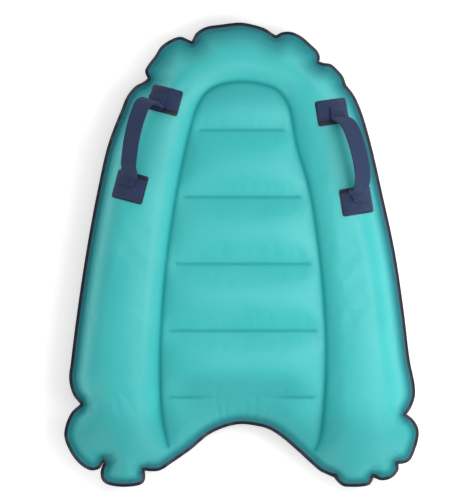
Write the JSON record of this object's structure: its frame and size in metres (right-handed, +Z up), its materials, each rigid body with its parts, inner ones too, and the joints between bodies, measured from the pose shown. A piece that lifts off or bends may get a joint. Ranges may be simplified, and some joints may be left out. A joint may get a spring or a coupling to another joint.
{
  "type": "inflatable bodyboard",
  "caption": "Inflatable bodyboard of welded coated fabric, with a channelled deck, crescent tail, webbing side handles and a capped inflation valve underneath.",
  "frame": {"origin": "centre of the board's length and width, on the plane that its underside rests on", "axes": "+Y towards the nose, +Z up out of the deck, +X to the right as the rider lies on it"},
  "size_m": [0.565, 0.74, 0.1504],
  "materials": {
    "deck_fabric": "coated woven fabric, satin",
    "slick_fabric": "coated woven fabric, satin",
    "web_fabric": "coated mesh fabric, matt",
    "patch_fabric": "coated woven fabric, satin",
    "webbing": "woven webbing, matt",
    "valve_plastic": "moulded, fine grain",
    "seal_rubber": "moulded, matt",
    "membrane_rubber": "moulded, satin"
  },
  "bodies": {
    "board": {"deck_skin": "deck_fabric", "slick_skin": "slick_fabric", "perimeter_web": "web_fabric", "cross_web_1": "web_fabric", "cross_web_2": "web_fabric", "cross_web_3": "web_fabric", "cross_web_4": "web_fabric", "cross_web_5": "web_fabric", "left_front_patch": "patch_fabric", "left_rear_patch": "patch_fabric", "right_front_patch": "patch_fabric", "right_rear_patch": "patch_fabric", "left_front_tab": "webbing", "left_rear_tab": "webbing", "right_front_tab": "webbing", "right_rear_tab": "webbing", "valve_base": "valve_plastic"},
    "left_handle": {"left_grip": "webbing"},
    "right_handle": {"right_grip": "webbing"},
    "valve_ring": {"valve_seal": "seal_rubber"},
    "valve_body": {"valve_insert": "valve_plastic", "valve_membrane": "membrane_rubber", "valve_tether": "valve_plastic"},
    "valve_lid": {"valve_cap": "valve_plastic"}
  },
  "joints": [
    {"name": "left_handle_swing", "type": "hinge", "parent": "board", "child": "left_handle", "pos_m": [-0.1486, 0.17482, 0.11268], "axis": [-0.3726, -0.9277, 0.0227], "range_deg": [-60, 30], "stiffness_Nm_per_rad": 0.1},
    {"name": "right_handle_swing", "type": "hinge", "parent": "board", "child": "right_handle", "pos_m": [0.16173, 0.15688, 0.10828], "axis": [0.2603, -0.9654, 0.0164], "range_deg": [-30, 60], "stiffness_Nm_per_rad": 0.1},
    {"name": "valve_lift", "type": "slide", "parent": "board", "child": "valve_ring", "axis": [0, 0, -1], "range_m": [0, 0.003]},
    {"name": "valve_turn", "type": "hinge", "parent": "valve_ring", "child": "valve_body", "pos_m": [0.00226, 0.23384, 0.01288], "axis": [0, 0, -1], "range_deg": [0, 360]},
    {"name": "valve_cap_open", "type": "hinge", "parent": "valve_body", "child": "valve_lid", "pos_m": [0.02276, 0.23384, 0.00443], "axis": [0, -1, 0], "range_deg": [0, 105]}
  ],
  "couplings": [
    {"joint": "valve_lift", "follows": "valve_turn", "m_per_rad": 0.00047746}
  ]
}
